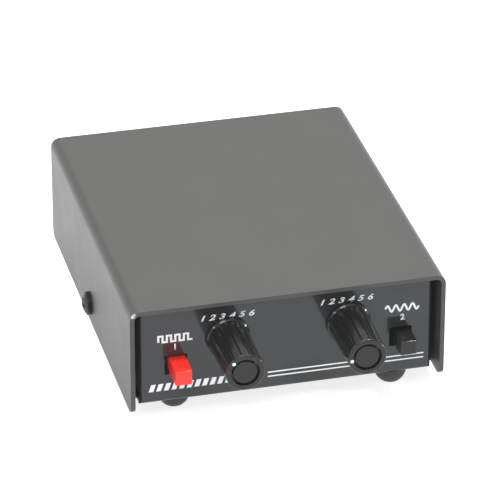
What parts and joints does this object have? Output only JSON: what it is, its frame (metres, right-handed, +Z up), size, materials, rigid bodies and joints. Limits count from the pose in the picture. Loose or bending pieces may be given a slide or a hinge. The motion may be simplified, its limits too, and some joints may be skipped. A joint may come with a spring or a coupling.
{
  "type": "tuning pulser",
  "caption": "Small sheet-metal control box with two fluted knobs and two push buttons in front and three jacks behind, for pulsing a transmitter while a tuner is adjusted.",
  "frame": {"origin": "on the surface that the feet stand on, below the middle of the whole object's box", "axes": "+X to the right as the front panel is read, +Y towards the rear panel, +Z up"},
  "size_m": [0.114, 0.1566, 0.0432],
  "materials": {
    "cover_paint": "satin textured black paint on sheet metal",
    "chassis_paint": "semi-gloss black paint on sheet metal",
    "black_screw": "black oxide",
    "foot_rubber": "soft matt rubber",
    "board_laminate": "solder-masked glass-epoxy laminate",
    "brass": "plated brass",
    "zinc_plate": "bright zinc plate",
    "die_cast": "tumbled die-cast metal",
    "nickel_plate": "nickel plate",
    "wafer_laminate": "phenolic laminate",
    "shaft_metal": "turned metal",
    "knob_plastic": "glossy moulded plastic",
    "cap_plastic": "satin moulded plastic",
    "black_plastic": "moulded plastic",
    "tan_plastic": "moulded plastic",
    "spring_steel": "drawn spring wire",
    "white_plastic": "natural moulded plastic",
    "red_plastic": "glossy moulded plastic",
    "button_black": "glossy moulded plastic",
    "battery_jacket": "printed metal jacket",
    "wire_insulation": "extruded insulation",
    "capacitor_sleeve": "shrink sleeve",
    "ceramic_coat": "dipped coat",
    "resistor_coat": "dipped coat"
  },
  "bodies": {
    "case": {"top_cover": "cover_paint", "cover_screws": "black_screw", "chassis": "chassis_paint", "foot_front_left": "foot_rubber", "foot_front_right": "foot_rubber", "foot_rear_left": "foot_rubber", "foot_rear_right": "foot_rubber", "circuit_board": "board_laminate", "board_standoffs": "brass", "board_screws": "zinc_plate", "rate_pot_bushing": "die_cast", "rate_pot_case": "nickel_plate", "rate_pot_element": "wafer_laminate", "rate_pot_washer": "nickel_plate", "rate_pot_nut": "nickel_plate", "duty_pot_bushing": "die_cast", "duty_pot_case": "nickel_plate", "duty_pot_element": "wafer_laminate", "duty_pot_washer": "nickel_plate", "duty_pot_nut": "nickel_plate", "pulse_switch_housing": "nickel_plate", "pulse_switch_base": "tan_plastic", "pulse_spring": "spring_steel", "carrier_switch_housing": "nickel_plate", "carrier_switch_base": "tan_plastic", "carrier_spring": "spring_steel", "phono_jack_shell": "brass", "phono_jack_insulator": "white_plastic", "phono_jack_contact": "brass", "phono_jack_nut": "nickel_plate", "phone_jack_body": "black_plastic", "phone_jack_contacts": "brass", "phone_jack_nut": "nickel_plate", "power_jack_body": "black_plastic", "power_jack_contacts": "nickel_plate", "power_jack_nut": "nickel_plate", "battery": "battery_jacket", "battery_bracket": "zinc_plate", "bracket_screws": "zinc_plate", "battery_snap": "black_plastic", "battery_leads": "wire_insulation", "timer_chip": "black_plastic", "chip_socket": "black_plastic", "electrolytic_capacitors": "capacitor_sleeve", "ceramic_capacitors": "ceramic_coat", "resistors": "resistor_coat", "output_transistor": "black_plastic", "phono_wires": "wire_insulation", "phone_jack_wires": "wire_insulation", "power_wires": "wire_insulation"},
    "rate_knob": {"rate_shaft": "shaft_metal", "rate_knob": "knob_plastic", "rate_knob_cap": "cap_plastic"},
    "duty_knob": {"duty_shaft": "shaft_metal", "duty_knob": "knob_plastic", "duty_knob_cap": "cap_plastic"},
    "pulse_button": {"pulse_plunger": "white_plastic", "pulse_button": "red_plastic"},
    "carrier_button": {"carrier_plunger": "white_plastic", "carrier_button": "button_black"}
  },
  "joints": [
    {"name": "rate_knob_turn", "type": "hinge", "parent": "case", "child": "rate_knob", "pos_m": [-0.02025, -0.0539, 0.0279], "axis": [0, 1, 0], "range_deg": [-104, 196]},
    {"name": "duty_knob_turn", "type": "hinge", "parent": "case", "child": "duty_knob", "pos_m": [0.02125, -0.0539, 0.0279], "axis": [0, 1, 0], "range_deg": [-50, 250]},
    {"name": "pulse_button_press", "type": "slide", "parent": "case", "child": "pulse_button", "axis": [0, 1, 0], "range_m": [0, 0.003], "stiffness_N_per_m": 400, "springref_m": -0.003, "deforming": ["pulse_spring"]},
    {"name": "carrier_button_press", "type": "slide", "parent": "case", "child": "carrier_button", "axis": [0, 1, 0], "range_m": [0, 0.003], "stiffness_N_per_m": 400, "springref_m": -0.003, "deforming": ["carrier_spring"]}
  ]
}
